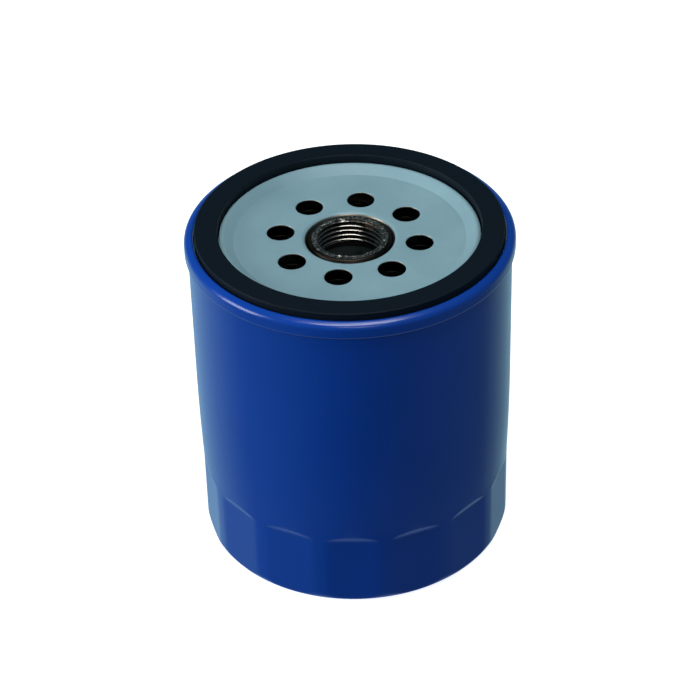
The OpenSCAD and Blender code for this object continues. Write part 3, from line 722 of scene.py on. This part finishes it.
pierced_in_r = 14.4
under_z = dish_z - plate_t
neck_skin = (
    [(r, plate_high.z) for r in np.linspace(mouth_r, neck_out_r - mouth_round_r - 0.15, 6)]
    + bend(neck_out_r - mouth_round_r, plate_high.z - mouth_round_r, mouth_round_r, 90, 0, 16)
    + [(neck_out_r, z) for z in (95.0, 94.5)]
    + bend(neck_out_r + 1, dish_z + 1, 1, 180, 270)
    + [(pierced_in_r, dish_z)]
)
outer_skin = (
    [(dish_out_r - 0.15, dish_z)]
    + bend(dish_out_r - 0.5, dish_z + 1, 1, 270, 320, 4)
    + [(slope_out_r - 0.5, plate_top_z - 0.35), (slope_out_r + 0.2, plate_top_z)]
    + bend(plate_out_r - 0.3, plate_top_z - 0.3, 0.3, 90, 0, 3)
    + bend(plate_out_r - 0.3, plate_top_z - plate_t + 0.3, 0.3, 0, -90, 3)
    + [(under_dish_r + 3.6, plate_top_z - plate_t), (under_dish_r + 3.0, plate_top_z - plate_t - 0.3),
       (under_dish_r + 0.3, under_z + 0.3), (under_dish_r - 0.2, under_z), (dish_out_r - 0.15, under_z)]
)
plate_rows = [(9, 1, dish_z), (0.3, 0.5, dish_z), (0.3, 0, dish_z), (0.2, 0, dish_z - 0.04),
              (0.08, 0, dish_z - 0.16), (0, 0, dish_z - 0.4), (0, 0, dish_z - 1.2), (0.03, 0, dish_z - 2.2),
              (0.08, 0, under_z + 0.3), (0.3, 0, under_z), (0.3, 0.5, under_z), (9, 1, under_z)]
plate_hole_r = 4.1


def plate_finish(at, normal):
    """Torn steel on the ring round the neck's mouth, oiled steel elsewhere."""
    return int(at.z > plate_high.z - 0.5 and mouth_r - 0.1 < math.hypot(at.x, at.y) < ring_out_r)


threaded_plate = make_piece(
    "threaded_plate",
    [tear(*spin(neck_skin, columns, sector_start)),
     spin([(pierced_in_r, under_z), (mouth_r, under_z)], columns, sector_start),
     tear(*cut_thread(under_z, plate_high.z)),
     spin(outer_skin, columns, sector_start)]
    + pierce(pierced_in_r, dish_out_r - 0.15, plate_hole_r, plate_rows),
    [oiled_steel, torn_steel], crease=55, material_of=plate_finish)
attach(threaded_plate, "canister")
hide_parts("base_plate")


# ---------------------------------------------------------------- Lid
# A thin pressed lid lies on the plate and is spot-welded to it. It carries the gasket's groove,
# and its edge is folded with the can's into the double seam. The grey lacquer on its top is
# rolled on before pressing; the holes are punched after, which leaves bare cut edges.

lid_z = 96.8
lid_mid_z = lid_z - sheet_t / 2
lid_mouth_r = 12.3
mouth_roll_r = 1.2
lid_hole_r = 3.9
pierced_out_r = 25.0
flat_out_r = 32.5
rim_wall_r = 36.49
rim_crest_z = 99.0
groove_z = 95.3
seam_low_z = 94.6
groove_bend_r = 0.7
rim_bend_r = 0.8
seam_slope = 26
seam_in_bend_r = 0.5
seam_out_bend_r = 1.4
seam_turn_z = seam_low_z + wall_step + sheet_t / 2
hook_top_z = hook_low_z + 1.9
# Painted shade: below this height the seam's outer turn takes the near-black compound colour
hem_shade_top_z = seam_low_z + 0.4
blue_from_r = seam_wall_r - 0.1

# Grey-blue rolled lacquer over steel: satin, slightly mottled, with a faint rolled grain, and
# polished by the press where the mouth is rolled in
grey_lacquer, tree, shader, place = new_material("grey_lacquer", Roughness=0.45, IOR=1.45)
cloud = add(tree, "ShaderNodeTexNoise", {"Vector": place, "Scale": per(14), "Detail": 4.0})
dust = add(tree, "ShaderNodeTexNoise", {"Vector": place, "Scale": per(0.5), "Detail": 3.0})
mottled = add(tree, "ShaderNodeMath", {0: dust.outputs["Fac"], 1: 0.25, 2: cloud.outputs["Fac"]},
              operation="MULTIPLY_ADD")
level = add(tree, "ShaderNodeMapRange", {"Value": mottled.outputs[0], "From Min": 0.35, "From Max": 0.9})
tone = add(tree, "ShaderNodeMix", {
    "Factor": level.outputs["Result"], "A": linear("92b7c2"), "B": linear("9ec3cd")}, data_type="RGBA")
tree.links.new(tone.outputs["Result"], shader.inputs["Base Color"])
stretch = add(tree, "ShaderNodeMapping", {"Vector": place, "Scale": (0.1, 1.0, 1.0)})
rolled = add(tree, "ShaderNodeTexNoise", {
    "Vector": stretch.outputs["Vector"], "Scale": per(0.5), "Detail": 4.0})
lines = add(tree, "ShaderNodeBump", {
    "Height": rolled.outputs["Fac"], "Strength": 0.12, "Distance": 0.02 * MM})
tree.links.new(lines.outputs["Normal"], shader.inputs["Normal"])
satin = add(tree, "ShaderNodeMapRange", {
    "Value": cloud.outputs["Fac"], "From Min": 0.3, "From Max": 0.7, "To Min": 0.42, "To Max": 0.52})
where, reach = from_axis(tree, place)
polished = add(tree, "ShaderNodeMapRange", {
    "Value": reach.outputs["Value"], "From Min": 13.9 * MM, "From Max": 13.3 * MM,
    "To Min": 0.0, "To Max": -0.26})
sheen = add(tree, "ShaderNodeMath", {
    0: satin.outputs["Result"], 1: polished.outputs["Result"]}, operation="ADD")
tree.links.new(sheen.outputs[0], shader.inputs["Roughness"])

# Punched steel edge: bright bare metal with a warm tinge of first rust
punched_edge, tree, shader, place = new_material("punched_edge", Metallic=1.0, Roughness=0.38)
shear = add(tree, "ShaderNodeTexNoise", {"Vector": place, "Scale": per(0.4), "Detail": 5.0})
tone = add(tree, "ShaderNodeMix", {
    "Factor": shear.outputs["Fac"], "A": linear("9c8f7c"), "B": linear("d6d0c2")}, data_type="RGBA")
tree.links.new(tone.outputs["Result"], shader.inputs["Base Color"])
lines = add(tree, "ShaderNodeBump", {
    "Height": shear.outputs["Fac"], "Strength": 0.3, "Distance": 0.03 * MM})
tree.links.new(lines.outputs["Normal"], shader.inputs["Normal"])

# Seaming compound: a soft dark rubbery bead, squeezed in the fold; the same near-black is also
# put on the lid's hem below the seam as a painted shade line
compound_and_hem_shade, tree, shader, place = new_material("compound_and_hem_shade", Roughness=0.7, IOR=1.5)
squeezed = add(tree, "ShaderNodeTexNoise", {"Vector": place, "Scale": per(0.9), "Detail": 4.0})
tone = add(tree, "ShaderNodeMix", {
    "Factor": squeezed.outputs["Fac"], "A": linear("0b0d0e"), "B": linear("171a1b")}, data_type="RGBA")
tree.links.new(tone.outputs["Result"], shader.inputs["Base Color"])

seam_in = bend(seam_wall_r + seam_in_bend_r, seam_top_z - sheet_t / 2 - seam_in_bend_r, seam_in_bend_r,
               180, 90 - seam_slope, 10)
fall = (seam_panel_r - seam_out_bend_r * (1 - math.sin(math.radians(seam_slope))) - seam_in[-1][0])
seam_out_z = (seam_in[-1][1] - fall * math.tan(math.radians(seam_slope))
              - seam_out_bend_r * math.cos(math.radians(seam_slope)))
lid_path = (
    [(lid_mouth_r + sheet_t / 2, lid_mid_z - mouth_roll_r - 0.25)]
    + bend(lid_mouth_r + sheet_t / 2 + mouth_roll_r, lid_mid_z - mouth_roll_r, mouth_roll_r, 180, 90, 10)
    + [(pierced_in_r, lid_mid_z), (pierced_out_r, lid_mid_z)]
    + [(28.0, lid_mid_z + 0.04), (31.0, lid_mid_z + 0.13), (flat_out_r - 0.3, lid_mid_z + 0.18)]
    + [(flat_out_r + way, lid_mid_z + up) for way, up in ((0, 0.12), (0.3, 0.16), (0.6, 0.44))]
    + bend(rim_wall_r - rim_bend_r, rim_crest_z - sheet_t / 2 - rim_bend_r, rim_bend_r, 125, 0, 14)
    + bend(rim_wall_r + groove_bend_r, groove_z - sheet_t / 2 + groove_bend_r, groove_bend_r, 180, 270)
    + bend(seam_wall_r - groove_bend_r, groove_z - sheet_t / 2 + groove_bend_r, groove_bend_r, 270, 360)
    + [(seam_wall_r, 97.0)]
    + seam_in
    + bend(seam_panel_r - seam_out_bend_r, seam_out_z, seam_out_bend_r, 90 - seam_slope, 0, 16)
    + [(seam_panel_r, z) for z in (97.1, 96.5, 95.8)]
    + bend(seam_panel_r - wall_step, seam_turn_z, wall_step, 0, -180, 12)
    + [(seam_panel_r - 2 * wall_step, hook_top_z)]
)
split_in = lid_path.index((pierced_in_r, lid_mid_z))
split_out = lid_path.index((pierced_out_r, lid_mid_z))
lid_top = beside(lid_path, sheet_t / 2)
lid_under = beside(lid_path, -sheet_t / 2)
mouth_skin = np.vstack([lid_under[:split_in + 1][::-1], lid_top[:split_in + 1]])
rim_skin = np.vstack([lid_top[split_out:], lid_under[split_out:][::-1]])
lid_under_z = lid_z - sheet_t
lid_rows = [(9, 1, lid_z), (0.5, 0.4, lid_z), (0.5, 0, lid_z), (0.3, 0, lid_z - 0.02),
            (0.15, 0, lid_z - 0.07), (0.05, 0, lid_z - 0.13), (0, 0, lid_z - 0.2), (0, 0, lid_z - 0.35),
            (0.02, 0, lid_under_z), (0.5, 0, lid_under_z), (0.5, 0.4, lid_under_z), (9, 1, lid_under_z)]


def lid_finish(at, normal):
    """Blue outside the groove, painted shade under the fold, bare cut edges, grey lacquer elsewhere."""
    reach = math.hypot(at.x, at.y)
    if reach > blue_from_r:
        # painted shade line along the bottom of the seam's turn
        return 3 if at.z < hem_shade_top_z else 1
    turn = (math.atan2(at.y, at.x) - hole_first + math.pi / hole_count) % (2 * math.pi / hole_count)
    x, y = polar(reach, turn - math.pi / hole_count)
    in_hole = math.hypot(x - hole_circle_r, y) < lid_hole_r + 0.04
    return 2 if in_hole or reach < lid_mouth_r + 0.45 else 0


pressed_lid = make_piece(
    "pressed_lid",
    [spin(mouth_skin, columns, sector_start), spin(rim_skin, columns, sector_start)]
    + pierce(pierced_in_r, pierced_out_r, lid_hole_r, lid_rows),
    [grey_lacquer, blue_enamel, punched_edge, compound_and_hem_shade], material_of=lid_finish)
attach(pressed_lid, "canister")
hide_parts("seaming_lid")

# Weld nugget: steel that has melted and set, blued at its border
weld_metal, tree, shader, place = new_material("weld_metal", Metallic=1.0, Roughness=0.45)
ripple = add(tree, "ShaderNodeTexNoise", {"Vector": place, "Scale": per(0.9), "Detail": 5.0})
tone = add(tree, "ShaderNodeMix", {
    "Factor": ripple.outputs["Fac"], "A": linear("4a4c55"), "B": linear("7a7570")}, data_type="RGBA")
tree.links.new(tone.outputs["Result"], shader.inputs["Base Color"])
lines = add(tree, "ShaderNodeBump", {
    "Height": ripple.outputs["Fac"], "Strength": 0.4, "Distance": 0.05 * MM})
tree.links.new(lines.outputs["Normal"], shader.inputs["Normal"])
finish_node("spot_welds", weld_metal)
finish_node("seam_compound", compound_and_hem_shade)


# ---------------------------------------------------------------- Gasket
# A ring of black nitrile rubber, cut square from a moulded sleeve, that sits in the lid's groove
# and stands a little above the seam to seal on the engine. It is held in by the groove alone.

gasket_low, gasket_high = (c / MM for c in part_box("gasket"))
gasket_out_r = gasket_high.x
gasket_in_r = gasket_out_r - 6.4
gasket_soft_r = 0.25
gasket_under_r = 0.5

# Ground nitrile rubber: blue-black and dull, with fine turning lines round it and a little talc
gasket_rubber, tree, shader, place = new_material(
    "gasket_rubber", Roughness=0.5, IOR=1.52, Specular_IOR_Level=0.2)
where, reach = from_axis(tree, place)
ring_place = add(tree, "ShaderNodeCombineXYZ", {"X": reach.outputs["Value"], "Y": where.outputs["Z"]})
turned_lines = add(tree, "ShaderNodeTexNoise", {
    "Vector": ring_place.outputs["Vector"], "Scale": per(0.35), "Detail": 3.0})
talc = add(tree, "ShaderNodeTexNoise", {
    "Vector": place, "Scale": per(1.1), "Detail": 7.0, "Roughness": 0.7})
dusty = add(tree, "ShaderNodeMapRange", {
    "Value": talc.outputs["Fac"], "From Min": 0.62, "From Max": 0.8, "To Min": 0.0, "To Max": 0.25})
tone = add(tree, "ShaderNodeMix", {
    "Factor": turned_lines.outputs["Fac"], "A": linear("08131d"), "B": linear("0c1a26")},
    data_type="RGBA")
dusted = add(tree, "ShaderNodeMix", {
    "Factor": dusty.outputs["Result"], "A": tone.outputs["Result"], "B": linear("263a45")},
    data_type="RGBA")
tree.links.new(dusted.outputs["Result"], shader.inputs["Base Color"])
ground = add(tree, "ShaderNodeBump", {
    "Height": turned_lines.outputs["Fac"], "Strength": 0.25, "Distance": 0.02 * MM})
tree.links.new(ground.outputs["Normal"], shader.inputs["Normal"])

gasket_section = (
    bend(gasket_in_r + gasket_soft_r, gasket_high.z - gasket_soft_r, gasket_soft_r, 180, 90, 6)
    + [(r, gasket_high.z) for r in (38.5, 39.5, 40.5, 41.5, 42.3)]
    + bend(gasket_out_r - gasket_soft_r, gasket_high.z - gasket_soft_r, gasket_soft_r, 90, 0, 6)
    + [(gasket_out_r, z) for z in (99.2, 97.8, 96.6)]
    + bend(gasket_out_r - gasket_under_r, gasket_low.z + gasket_under_r, gasket_under_r, 0, -90, 4)
    + [(r, gasket_low.z) for r in (41.5, 39.5)]
    + bend(gasket_in_r + gasket_under_r, gasket_low.z + gasket_under_r, gasket_under_r, 270, 180, 4)
    + [(gasket_in_r, z) for z in (96.6, 97.8, 99.2)]
)
gasket_section.append(gasket_section[0])
gasket_ring = make_piece("gasket_ring", [spin(gasket_section, columns)], [gasket_rubber])
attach(gasket_ring, "canister")
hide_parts("gasket")


# ---------------------------------------------------------------- Studio
# The filter stands on a plain white table in a soft tent: one softbox overhead, one at the left
# and a thin one in front. The table lies just under the closed end.

# White laminate, evenly lit: shows as plain white, with the faintest shadow at the foot
white_table, tree, shader, place = new_material("white_table", Roughness=0.9, IOR=1.45)
fine = add(tree, "ShaderNodeTexNoise", {"Vector": place, "Scale": per(40), "Detail": 2.0})
tone = add(tree, "ShaderNodeMix", {
    "Factor": fine.outputs["Fac"], "A": linear("f7f7f7"), "B": linear("fbfbfb")}, data_type="RGBA")
tree.links.new(tone.outputs["Result"], shader.inputs["Base Color"])
shader.inputs["Emission Color"].default_value = (1, 1, 1, 1)
shader.inputs["Emission Strength"].default_value = 0.85

table_mesh = bpy.data.meshes.new("table_top")
table_points, table_faces = spin([(0.001, -0.02), (200, -0.02), (900, -0.02), (3000, -0.02)], 64)
table_mesh.from_pydata((table_points * MM).tolist(), [], table_faces[:, ::-1].tolist())
table_mesh.materials.append(white_table)
table_top = bpy.data.objects.new("table_top", table_mesh)
bpy.context.scene.collection.objects.link(table_top)
table_top.visible_glossy = False
table_top.visible_diffuse = False


def softbox(name, place, aim, width, height, power):
    """A soft rectangular white light at a place, facing its aim, both in metres."""
    lamp = bpy.data.lights.new(name, "AREA")
    lamp.shape = "RECTANGLE"
    lamp.size, lamp.size_y = width, height
    lamp.energy = power
    box = bpy.data.objects.new(name, lamp)
    box.location = place
    box.rotation_euler = (Vector(aim) - Vector(place)).to_track_quat("-Z", "Y").to_euler()
    bpy.context.scene.collection.objects.link(box)


softbox("overhead_light", (0.02, -0.12, 1.0), (0, 0, 0.1), 0.5, 0.3, 3.5)
softbox("left_light", (-0.95, -0.25, 0.34), (0, 0, 0.05), 0.5, 0.6, 5.4)
softbox("front_light", (0.06, -0.68, 0.70), (0, 0, 0.08), 0.3, 0.045, 0.75)

# The tent's walls are bright at the back and sides, dim in front, and the table glows from below
world = bpy.data.worlds.new("studio_tent")
bpy.context.scene.world = world
world.use_nodes = True
tree = world.node_tree
tree.nodes.clear()
direction = add(tree, "ShaderNodeTexCoord").outputs["Generated"]
way = add(tree, "ShaderNodeSeparateXYZ", {"Vector": direction})
to_back = add(tree, "ShaderNodeVectorMath", {0: direction, 1: (-0.2, 0.98, 0.0)}, operation="DOT_PRODUCT")
back_glow = add(tree, "ShaderNodeMapRange", {
    "Value": to_back.outputs["Value"], "From Min": 0.1, "From Max": 0.8, "To Min": 0.05, "To Max": 0.75})
left_glow = add(tree, "ShaderNodeMapRange", {
    "Value": way.outputs["X"], "From Min": -0.2, "From Max": -0.85, "To Min": 0.0, "To Max": 0.15})
right_glow = add(tree, "ShaderNodeMapRange", {
    "Value": way.outputs["X"], "From Min": 0.1, "From Max": 0.8, "To Min": 0.0, "To Max": 0.12})
table_glow = add(tree, "ShaderNodeMapRange", {
    "Value": way.outputs["Z"], "From Min": -0.68, "From Max": -0.95, "To Min": 0.0, "To Max": 0.8})
low_glow = back_glow
for more in (left_glow, right_glow, table_glow):
    low_glow = add(tree, "ShaderNodeMath", {0: low_glow.outputs[0], 1: more.outputs[0]}, operation="ADD")
above = add(tree, "ShaderNodeMapRange", {
    "Value": way.outputs["Z"], "From Min": -0.25, "From Max": 0.2, "To Min": 0.0, "To Max": 1.0})
high_glow = add(tree, "ShaderNodeMapRange", {
    "Value": way.outputs["Y"], "From Min": -0.8, "From Max": 0.8, "To Min": 0.16, "To Max": 0.09})
glow = add(tree, "ShaderNodeMix", {
    "Factor": above.outputs["Result"], "A": low_glow.outputs[0], "B": high_glow.outputs["Result"]},
    data_type="FLOAT")
tint = add(tree, "ShaderNodeMix", {
    "Factor": table_glow.outputs["Result"], "A": linear("b4e8fb"), "B": linear("8fb2ff")},
    data_type="RGBA")
sky = add(tree, "ShaderNodeBackground", {
    "Color": tint.outputs["Result"], "Strength": glow.outputs["Result"]})
add(tree, "ShaderNodeOutputWorld", {"Surface": sky.outputs["Background"]})

scene = bpy.context.scene
scene.view_settings.view_transform = "Standard"
scene.view_settings.look = "None"

# The camera stands 0.69 m away, 33 degrees above the gasket's face and a little rolled
lens_mm = 126.85
camera_place = Vector((0.0, -0.57794, 0.47747))
camera_aim = Vector((-0.00084, 0.0, 0.05774))
camera_roll = math.radians(-1.598)
camera = bpy.data.objects.new("camera", bpy.data.cameras.new("camera"))
camera.data.lens = lens_mm
camera.data.sensor_width = 36
camera.data.clip_start, camera.data.clip_end = 0.05, 20
turn = (camera_aim - camera_place).to_track_quat("-Z", "Y").to_matrix().to_4x4()
camera.matrix_world = Matrix.Translation(camera_place) @ turn @ Matrix.Rotation(camera_roll, 4, "Z")
scene.collection.objects.link(camera)
scene.camera = camera
